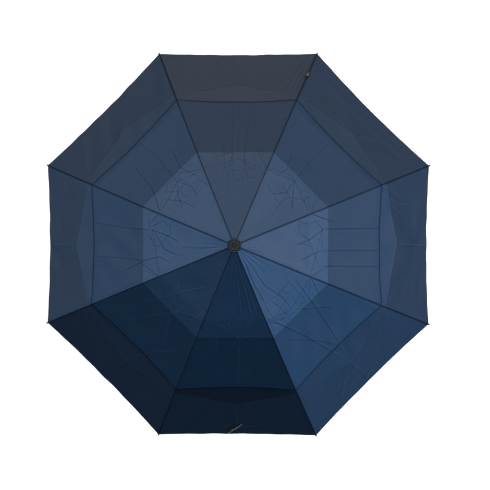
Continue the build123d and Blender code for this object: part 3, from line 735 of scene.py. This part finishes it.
# the lower canopy's cloth: the same navy made darker, as painted shade over the outer band
NAVY_PAINTED_SHADE = (0.003, 0.017, 0.045)
MAT = {
    "upper_fabric": cloth_material("navy_cloth_upper", NAVY, 0.0017, S_INNER / 1000),
    "lower_fabric": cloth_material("navy_cloth_lower", NAVY_PAINTED_SHADE, 0.0024),
    "rib_steel": hard_material(
        "black_lacquer_rib", (0.018, 0.018, 0.021), 0.4, 0.34, (0.11, 0.11, 0.12), 420.0, coat=0.35
    ),
    "link_steel": hard_material("nickel_link", (0.42, 0.43, 0.45), 1.0, 0.3, (0.2, 0.2, 0.21), 600.0),
    "rod_steel": hard_material(
        "black_lacquer_rod", (0.016, 0.016, 0.019), 0.4, 0.3, (0.1, 0.1, 0.11), 420.0, coat=0.35
    ),
    "shaft_steel": hard_material(
        "black_gloss_shaft", (0.014, 0.014, 0.016), 0.5, 0.24, (0.12, 0.12, 0.13), 300.0, (1, 1, 0.05), 0.5
    ),
    "crown_plastic": hard_material(
        "black_nylon", (0.012, 0.012, 0.014), 0.0, 0.46, (0.04, 0.04, 0.045), 700.0
    ),
    "ring_wire": hard_material("zinc_wire", (0.4, 0.4, 0.42), 1.0, 0.36, (0.22, 0.22, 0.24), 500.0),
    "washer_plastic": hard_material(
        "black_washer", (0.0012, 0.0016, 0.0035), 0.0, 0.8, (0.004, 0.006, 0.012), 700.0, shine=0.08
    ),
    "cap_plastic": cap_material(),
    "spring_steel": hard_material("bright_spring", (0.5, 0.5, 0.51), 1.0, 0.28, (0.25, 0.25, 0.26), 500.0),
    "handle_core_plastic": hard_material(
        "core_plastic", (0.02, 0.02, 0.021), 0.0, 0.5, (0.05, 0.05, 0.05), 500.0
    ),
    "handle_rubber": hard_material(
        "soft_touch", (0.013, 0.014, 0.016), 0.0, 0.68, (0.04, 0.042, 0.046), 1100.0, depth=0.00006
    ),
    "handle_trim": hard_material(
        "dark_trim", (0.035, 0.038, 0.042), 0.1, 0.32, (0.1, 0.1, 0.11), 500.0, coat=0.25
    ),
    "button_plastic": hard_material(
        "grey_button", (0.1, 0.105, 0.11), 0.0, 0.36, (0.2, 0.2, 0.21), 600.0, coat=0.15
    ),
    "screw_steel": hard_material("black_zinc", (0.06, 0.06, 0.065), 1.0, 0.42, (0.28, 0.28, 0.29), 900.0),
    "strap_fabric": hard_material(
        "black_webbing", (0.002, 0.003, 0.007), 0.0, 0.8, (0.008, 0.012, 0.024), 1800.0,
        (1, 0.25, 1), depth=0.00012,
    ),
    "snap": hard_material("snap_metal", (0.55, 0.52, 0.45), 1.0, 0.26, (0.25, 0.22, 0.18), 700.0),
    "thread": hard_material(
        "blue_thread", (0.085, 0.125, 0.2), 0.0, 0.7, (0.16, 0.21, 0.3), 2400.0, depth=0.00008
    ),
}
slots = {p["node"]: p["material_slot"] for p in frame["record"]["subparts"]}
for node, obj in nodes.items():
    obj.data.materials.clear()
    obj.data.materials.append(MAT[slots[node]])


def dress(obj, material):
    obj.data.materials.clear()
    obj.data.materials.append(MAT[material])


# ---- the two canopies
def rib_point(k, rz):
    a = rib_angle(k)
    return np.array([rz[0] * math.cos(a), rz[0] * math.sin(a), rz[1]]) / 1000


def rib_direction(k, slope):
    """Unit vector out along a bar of rib k."""
    a, (r, z) = rib_angle(k), along(slope)
    return np.array([math.cos(a) * r, math.sin(a) * r, z])


def bar_axes(g, later, slope):
    """For the half of panel g by one of its ribs: the rib's number, and the flattening axis across it."""
    k = (g + 1) % 8 if later else g
    other = g if later else (g + 1) % 8
    chord = rib_point(other, (300, 0)) - rib_point(k, (300, 0))
    chord /= np.linalg.norm(chord)
    d = rib_direction(k, slope)
    n = chord - chord.dot(d) * d
    return k, n / np.linalg.norm(n)


COS_DROP = 0.29289  # 1 - cos 45 degrees: how much nearer the shaft the next rib lies, seen along this one


def cut_line(layer, s_joint):
    """Where the plane square to the near rib at a joint cuts the panel, as s for each t from that rib."""
    r0 = float(rib_line(layer, s_joint)[0])
    return lambda near: s_at_r(layer, r0 / (1 - COS_DROP * near))


def fold(obj, g, later, slope, s_anchor, layer, keep):
    """Give a piece of panel g its own copy of its mesh; the flattening axis across its bar is worked out, but the
    piece is not flattened.
    """
    k, n = bar_axes(g, later, slope)
    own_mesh(obj)


for g in range(8):
    for later in (False, True):
        k = (g + 1) % 8 if later else g
        n_rib = k + 1
        tag = f"{g + 1}{'b' if later else 'a'}"
        top_rib, middle_rib, tail_rib = (f"{bar}_rib_{n_rib}" for bar in ("top", "middle", "tail"))

        def near(t, later=later):
            return 1 - t if later else t

        def columns(a, b, count, later=later):
            v = np.linspace(a, b, count)
            return 1 - v[::-1] if later else v

        def const(value):
            return lambda t: np.full(np.shape(t), float(value))

        up_a = lambda t: cut_line("upper", S_A)(near(t))
        up_c = lambda t: cut_line("upper", S_C)(near(t))
        lo_c = lambda t: cut_line("lower", S_C)(near(t))
        vent = lambda t: S_VENT - hem_pull("upper", t, g)
        hem = lambda t: S_HEM - hem_pull("lower", t, g)
        inner = const(S_INNER)
        probe = np.linspace(0, 0.5, 400)
        real = 1 - probe if later else probe
        cross = float(probe[np.argmax(up_c(real) > vent(real))])
        pieces = [
            ("hub", "upper", columns(0, 0.5, 22), const(-6.5), const(20), 12, None, None),
            ("top", "upper", columns(0, 0.5, 58), const(20), up_a, 104, top_rib, (TOP_SLOPE, 100, 0.085)),
        ]
        both = np.concatenate([np.linspace(0, cross, 32), np.linspace(cross, 0.5, 44)[1:]])
        both = 1 - both[::-1] if later else both
        mid_end = lambda t: np.minimum(up_c(t), vent(t))
        pieces += [
            ("mid", "upper", both, up_a, mid_end, 100, middle_rib, (MID_SLOPE, 260, 0.07)),
            ("vent", "upper", columns(0, cross, 24), up_c, vent, 12, tail_rib, (TAIL_SLOPE, 372, 0.08)),
            ("mid", "lower", columns(0, 0.5, 56), inner, lo_c, 64, middle_rib, (MID_SLOPE, 300, 0.06)),
            ("tail", "lower", columns(0, 0.5, 84), lo_c, hem, 104, tail_rib, (TAIL_SLOPE, 460, 0.075)),
        ]
        for label, layer, cols, lo, hi, rows, body, squash in pieces:
            obj, flat, area = cloth_piece(f"{layer}_{label}_{tag}", layer, g, cols, lo, hi, rows)
            dress(obj, f"{layer}_fabric")
            if body is None:
                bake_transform(obj)
            else:
                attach(obj, body)
                fold(obj, g, later, squash[0], squash[1], layer, squash[2])
            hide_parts(f"canopy_{layer}")


# ---- small meshes
def mesh_object(name, verts, faces, smooth=True):
    mesh = bpy.data.meshes.new(name)
    mesh.from_pydata([tuple(v) for v in verts], [], [tuple(int(i) for i in f) for f in faces])
    mesh.validate()
    mesh.update()
    for p in mesh.polygons:
        p.use_smooth = smooth
    obj = bpy.data.objects.new(name, mesh)
    bpy.context.scene.collection.objects.link(obj)
    return obj


def tube(path, radius, sides=8):
    """Vertices and faces of a round tube along path. radius may be a list."""
    path = np.asarray(path, float)
    radius = np.broadcast_to(radius, (len(path),))
    t = np.gradient(path, axis=0)
    t /= np.linalg.norm(t, axis=1, keepdims=True)
    ref = np.array([0.0, 0.0, 1.0]) if abs(t[0][2]) < 0.9 else np.array([1.0, 0.0, 0.0])
    verts, faces = [], []
    u = np.cross(t[0], ref)
    for i, p in enumerate(path):
        u = u - t[i] * u.dot(t[i])
        u /= np.linalg.norm(u)
        w = np.cross(t[i], u)
        for j in range(sides):
            a = 2 * math.pi * j / sides
            verts.append(p + radius[i] * (math.cos(a) * u + math.sin(a) * w))
    for i in range(len(path) - 1):
        for j in range(sides):
            a, b = i * sides + j, i * sides + (j + 1) % sides
            faces.append((a, b, b + sides, a + sides))
    faces.append(tuple(range(sides))[::-1])
    faces.append(tuple((len(path) - 1) * sides + j for j in range(sides)))
    return verts, faces


def joined(name, parts):
    verts, faces = [], []
    for v, f in parts:
        base = len(verts)
        verts += list(v)
        faces += [tuple(i + base for i in face) for face in f]
    return mesh_object(name, verts, faces)


def dome_button(centre, normal, r, height, steps=5, sides=20):
    """A low dome with a flat back, as on a snap."""
    n = np.asarray(normal, float) / np.linalg.norm(normal)
    u = np.cross(n, [0.3, 0.5, 0.8])
    u /= np.linalg.norm(u)
    w = np.cross(n, u)
    profile = [(r, 0.0), (r, height * 0.35)]
    for a in np.linspace(0.25, 1.45, steps):
        profile.append((r * math.cos(a), height * (0.35 + 0.65 * math.sin(a))))
    verts, faces = [], []
    for rr, h in profile:
        for j in range(sides):
            a = 2 * math.pi * j / sides
            verts.append(centre + n * h + rr * (math.cos(a) * u + math.sin(a) * w))
    for i in range(len(profile) - 1):
        for j in range(sides):
            a, b = i * sides + j, i * sides + (j + 1) % sides
            faces.append((a, b, b + sides, a + sides))
    faces.append(tuple(range(sides))[::-1])
    faces.append(tuple((len(profile) - 1) * sides + j for j in range(sides)))
    return verts, faces


def ribbon(points, normals, half_width, thick, bulge=0.0, across=5):
    """A closed flat band along points, half_width to each side."""
    points, normals = np.asarray(points, float), np.asarray(normals, float)
    half_width = np.broadcast_to(half_width, (len(points),))
    t = np.gradient(points, axis=0)
    t /= np.linalg.norm(t, axis=1, keepdims=True)
    side = np.cross(normals, t)
    side /= np.linalg.norm(side, axis=1, keepdims=True)
    top, under = [], []
    for i in range(len(points)):
        for q in np.linspace(-1, 1, across):
            p = points[i] + side[i] * q * half_width[i] + normals[i] * bulge * (1 - q * q)
            top.append(p + normals[i] * thick / 2)
            under.append(p - normals[i] * thick / 2)
    rows, count = len(points), len(top)
    idx = np.arange(count).reshape(rows, across)
    faces = []
    for i in range(rows - 1):
        for j in range(across - 1):
            q = (idx[i, j], idx[i, j + 1], idx[i + 1, j + 1], idx[i + 1, j])
            faces.append(q[::-1])
            faces.append(tuple(v + count for v in q))
    loop = [*idx[0, :-1], *idx[:-1, -1], *idx[-1, :0:-1], *idx[:0:-1, 0]]
    for a, b in zip(loop, loop[1:] + loop[:1]):
        faces.append((a, b, b + count, a + count))
    return top + under, faces


# cloth patches under the ribs' joints, which carry the canopy round each fold
for k in range(8):
    a = rib_angle(k)
    out = np.array([math.cos(a), math.sin(a), 0.0])
    up = np.array([0.0, 0.0, 1.0])
    flank = np.cross(up, out)
    jobs = [
        ("joint_patch_a", "upper", S_A, f"top_rib_{k + 1}", f"middle_rib_{k + 1}", 6.0),
        ("joint_patch_c", "lower", S_C, f"middle_rib_{k + 1}", f"tail_rib_{k + 1}", 6.0),
    ]
    for label, layer, s0, body_a, body_b, half in jobs:
        s = np.linspace(s0 - 12, s0 + 12, 25)
        r, z = rib_line(layer, s)
        pts = (out[None, :] * r[:, None] + up[None, :] * z[:, None]) / 1000
        d = np.gradient(pts, axis=0)
        d /= np.linalg.norm(d, axis=1, keepdims=True)
        nrm = np.cross(d, flank)
        nrm *= np.sign(nrm[:, 2:3])
        width = half / 1000 * np.clip(1.15 - (np.abs(s - s0) / 13) ** 4, 0.3, 1)
        v, f = ribbon(pts - nrm * 0.00075, nrm, width, 0.0004, across=7)
        v = [p - up * abs((p - out * p.dot(out)).dot(flank)) * 0.16 for p in v]
        patch = mesh_object(f"{label}_{k + 1}", v, f)
        dress(patch, "strap_fabric")
        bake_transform(patch)

# thread dots that hold the cloth under the cap
parts = []
count = 20
z = float(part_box("cap_washer")[1][2])
for i in range(count):
    a = 2 * math.pi * (i + 0.5) / count
    c = np.array([0.0138 * math.cos(a), 0.0138 * math.sin(a), z - 0.0003])
    d = np.array([-math.sin(a), math.cos(a), 0.0])
    path = [c + d * q * 0.0012 + np.array([0, 0, 0.0005 * (1 - q * q)]) for q in np.linspace(-1, 1, 7)]
    parts.append(tube(path, [0.0004, 0.0008, 0.001, 0.00105, 0.001, 0.0008, 0.0004], 8))
dots = joined("cap_stitches", parts)
dress(dots, "thread")
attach(dots, "crown")


def helix(name, start, axis, side, length, turns, r, wire):
    """A coil spring of round wire that belongs to the handle."""
    start, axis, side = (np.asarray(v, float) for v in (start, axis, side))
    other = np.cross(axis, side)
    q = np.linspace(0, 1, int(turns * 20) + 1)
    a = 2 * math.pi * turns * q
    path = start + axis * length * q[:, None] + r * (np.cos(a)[:, None] * side + np.sin(a)[:, None] * other)
    v, f = tube(path, wire)
    obj = mesh_object(name, v, f)
    dress(obj, "spring_steel")
    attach(obj, "handle")
    return obj


low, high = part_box("main_spring")
foot, length = (0, 0, low[2] + 0.0006), high[2] - low[2] - 0.0012
main = helix("main_spring_coil", foot, (0, 0, 1), (1, 0, 0), length, 46, 0.0034, 0.00055)
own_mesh(main)
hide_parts("main_spring")
low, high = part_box("button_spring")
zc = (low[2] + high[2]) / 2
foot, length = (0, high[1] - 0.0003, zc), high[1] - low[1] - 0.0006
small = helix("button_spring_coil", foot, (0, -1, 0), (1, 0, 0), length, 3, 0.0022, 0.0003)
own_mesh(small)
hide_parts("button_spring")


# ---- closing strap, hem fold and rib snap
def on_cloth(layer, g, s, t, lift=0.0):
    """Points on the cloth in metres, lifted along its normal, and the normals."""
    s, t = np.atleast_1d(np.asarray(s, float)), np.atleast_1d(np.asarray(t, float))
    p = cloth(layer, g, s, t)[0]
    n = cloth_normal(layer, g, s, t)
    return (p + n * lift) / 1000, n


STRAP_PANEL = 5
low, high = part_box("closure_strap")
y_mid = (low[1] + high[1]) / 2
path, normals = [], []
for q in np.linspace(0, 1, 17):
    z_q = high[2] - 0.0004 - q * (high[2] - low[2] - 0.0006)
    path.append([-0.001 * q, y_mid + 0.0014 * math.sin(q * 5), z_q])
    normals.append([0.04 * math.sin(3 * q), -1, 0])
normals = np.array(normals) / np.linalg.norm(normals, axis=1, keepdims=True)
v, f = ribbon(path, normals, 0.0095, 0.0011, 0.0003, 9)
strap = joined("closing_strap", [(v, f)])
dress(strap, "strap_fabric")
centre = np.array([0, low[1] + 0.0012, low[2] + 0.009])
v, f = dome_button(centre, (0, -1, 0), 0.005, 0.0016)
snap = joined("closing_strap_snap", [(v, f)])
dress(snap, "snap")
# the strap is sewn in at a small slanting fold of the hem: a black sheet in its mouth as painted shadow, a lip in
# the lighter thread colour as painted highlight, a glimpse of a snap
q = np.linspace(0, 1, 21)
t_path = 0.44 + 0.095 * q
s_path = 551.0 - 36.0 * q**0.9
p, n = on_cloth("lower", STRAP_PANEL, s_path, t_path, 0.9)
v, f = tube(p, 0.0009 + 0.0004 * np.sin(math.pi * q), 10)
lip = joined("hem_fold_lip_highlight", [(v, f)])
mouth_p, mouth_n = on_cloth("lower", STRAP_PANEL, s_path - 3.6 - 4.2 * np.sin(math.pi * q), t_path, 0.55)
v, f = ribbon(mouth_p, mouth_n, 0.0009 + 0.0062 * np.sin(math.pi * q) ** 0.8, 0.0004, 0.0, 7)
# painted shadow: a black sheet laid in the fold's mouth
mouth = joined("hem_fold_shadow_sheet", [(v, f)])
dress(mouth, "strap_fabric")
p, n = on_cloth("lower", STRAP_PANEL, [538.0], [0.468], 0.9)
v, f = dome_button(p[0], n[0] + np.array([0.3, -0.1, 0.1]), 0.0033, 0.0018)
glint = joined("hem_fold_snap", [(v, f)])
dress(glint, "snap")
# painted highlight: the lip, the fold's edge, takes the lighter thread colour
dress(lip, "thread")
for obj in (strap, snap, mouth, glint, lip):
    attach(obj, f"tail_rib_{STRAP_PANEL + 1}")
    fold(obj, STRAP_PANEL, False, TAIL_SLOPE, 460, "lower", 0.075)
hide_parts("closure_strap")

SEAM_RIB = 1
s = np.linspace(S_VENT + 3, S_HEM - 4, 60)
p, n = on_cloth("lower", SEAM_RIB, s, np.zeros(60), 0.5)
r, z = rib_line("lower", s)
a = rib_angle(SEAM_RIB)
r_up, z_up = square(TAIL_SLOPE)
up_n = np.array([math.cos(a) * r_up, math.sin(a) * r_up, z_up])
centre = np.stack([r * math.cos(a), r * math.sin(a), z], -1) / 1000 + up_n * 0.00085
v, f = ribbon(centre, np.broadcast_to(up_n, centre.shape), 0.0012 + 0.0003 * np.sin(s / 9), 0.0008, 0.0004, 5)
tape = joined("rib_seam_tape", [(v, f)])
dress(tape, "strap_fabric")
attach(tape, f"tail_rib_{SEAM_RIB + 1}")
SNAP_S = 468.0
d = rib_direction(SEAM_RIB, TAIL_SLOPE)


def rib_spot(s_mm, lift):
    """A point in metres over the seam with the snap, at s_mm out along its rib."""
    r, z = rib_line("lower", s_mm)
    return np.array([r * math.cos(a), r * math.sin(a), z]) / 1000 + up_n * lift


steps = np.linspace(-1, 1, 15)
path = [rib_spot(SNAP_S + 13 * x, 0.0011) for x in steps]
half_width = 0.0007 + 0.0036 * np.sqrt(np.clip(1 - steps**2, 0, 1))
v, f = ribbon(path, np.broadcast_to(up_n, (15, 3)), half_width, 0.0016, 0.0006, 7)
tab = joined("rib_snap_tab", [(v, f)])
dress(tab, "strap_fabric")
parts = [
    dome_button(rib_spot(SNAP_S + 2.0, 0.0019), up_n + 0.2 * d, 0.0033, 0.0019),
    dome_button(rib_spot(SNAP_S + 8.6, 0.0017), up_n + 0.3 * d, 0.0021, 0.0015),
]
beads = joined("rib_snap", parts)
dress(beads, "snap")
for obj in (tab, beads):
    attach(obj, f"tail_rib_{SEAM_RIB + 1}")


# ---- floor, light and camera
FLOOR_HALF, FLOOR_Z = 14, -0.0006
corners = [(i * FLOOR_HALF, j * FLOOR_HALF, FLOOR_Z) for i, j in ((-1, -1), (1, -1), (1, 1), (-1, 1))]
floor = mesh_object("floor", corners, [(0, 1, 2, 3)], False)
m, nt, bsdf = new_material("pale_floor")
pos = nt.nodes.new("ShaderNodeTexCoord").outputs["Object"]
paint = mix_colour(nt, noise(nt, pos, 3.0), (0.93, 0.93, 0.93), (0.95, 0.95, 0.95))
nt.links.new(paint, bsdf.inputs["Base Color"])
bsdf.inputs["Roughness"].default_value = 0.85
bsdf.inputs["Emission Color"].default_value = (1, 1, 1, 1)
bsdf.inputs["Emission Strength"].default_value = 0.5
floor.data.materials.append(m)
floor.visible_glossy = False


def area(name, at, to, wide, high, radiance, colour=(1, 1, 1)):
    """A rectangular softbox at one place, turned to another."""
    light = bpy.data.lights.new(name, "AREA")
    light.shape = "RECTANGLE"
    light.size, light.size_y = wide, high
    light.energy = radiance * math.pi * wide * high
    light.color = colour
    obj = bpy.data.objects.new(name, light)
    bpy.context.scene.collection.objects.link(obj)
    z = np.asarray(at, float) - np.asarray(to, float)
    z /= np.linalg.norm(z)
    x = np.cross([0, 0, 1], z)
    if np.linalg.norm(x) < 1e-6:
        x = np.array([1.0, 0, 0])
    x /= np.linalg.norm(x)
    y = np.cross(z, x)
    m = np.eye(4)
    m[:3, 0], m[:3, 1], m[:3, 2], m[:3, 3] = x, y, z, at
    obj.matrix_world = Matrix(m.tolist())
    obj.visible_camera = False
    return obj


SKY_FAR = 5.2


def sky_panel(name, turn, lift, radiance, glossy=True, side=2.8):
    """A softbox seen from the canopy at a compass turn and a height above the horizon, both in degrees."""
    a, e = math.radians(turn), math.radians(lift)
    flat = SKY_FAR * math.cos(e)
    at = (flat * math.cos(a), flat * math.sin(a), 0.5 + SKY_FAR * math.sin(e))
    light = area(name, at, (0, 0, 0.5), side, side, radiance)
    light.visible_glossy = glossy


area("back_wall_light", (0, 5.2, 2.3), (0, 0, 0.45), 8.0, 4.2, 1.0, (1.0, 0.97, 0.93))
sky_panel("east_high", 10, 50, 2.5, side=3.8)
sky_panel("west_high", 150, 50, 1.5, side=3.8)
sky_panel("west_low", 175, 22, 1.0)
sky_panel("east_fill", -5, 22, 12, False)
sky_panel("west_fill", 175, 22, 7, False)
sky_panel("south_fill", -80, 25, 1.5, False)

world = bpy.data.worlds.new("studio")
bpy.context.scene.world = world
world.use_nodes = True
wn = world.node_tree
wn.nodes.clear()
w_out = wn.nodes.new("ShaderNodeOutputWorld")
w_bg = wn.nodes.new("ShaderNodeBackground")
w_bg.inputs[0].default_value = (0.9, 0.95, 1.0, 1)
w_bg.inputs[1].default_value = 0.05
w_cam = wn.nodes.new("ShaderNodeBackground")
w_cam.inputs[0].default_value = (1, 1, 1, 1)
w_cam.inputs[1].default_value = 0.97
w_mix = wn.nodes.new("ShaderNodeMixShader")
w_path = wn.nodes.new("ShaderNodeLightPath")
wn.links.new(w_path.outputs["Is Camera Ray"], w_mix.inputs[0])
wn.links.new(w_bg.outputs[0], w_mix.inputs[1])
wn.links.new(w_cam.outputs[0], w_mix.inputs[2])
wn.links.new(w_mix.outputs[0], w_out.inputs[0])

scene = bpy.context.scene
scene.view_settings.view_transform = "Standard"
scene.view_settings.look = "None"
cam_data = bpy.data.cameras.new("camera")
cam_data.angle = math.radians(24.15)
cam_data.clip_end = 100
cam = bpy.data.objects.new("camera", cam_data)
scene.collection.objects.link(cam)
eye, aim = np.array([0.08, 0.019, 3.15]), np.array([0.018, -0.001, 0.36])
back = (eye - aim) / np.linalg.norm(eye - aim)
ROLL = 0.0025
right = np.cross([math.sin(-ROLL), math.cos(ROLL), 0], back)
right /= np.linalg.norm(right)
top = np.cross(back, right)
m = np.eye(4)
m[:3, 0], m[:3, 1], m[:3, 2], m[:3, 3] = right, top, back, eye
cam.matrix_world = Matrix(m.tolist())
scene.camera = cam
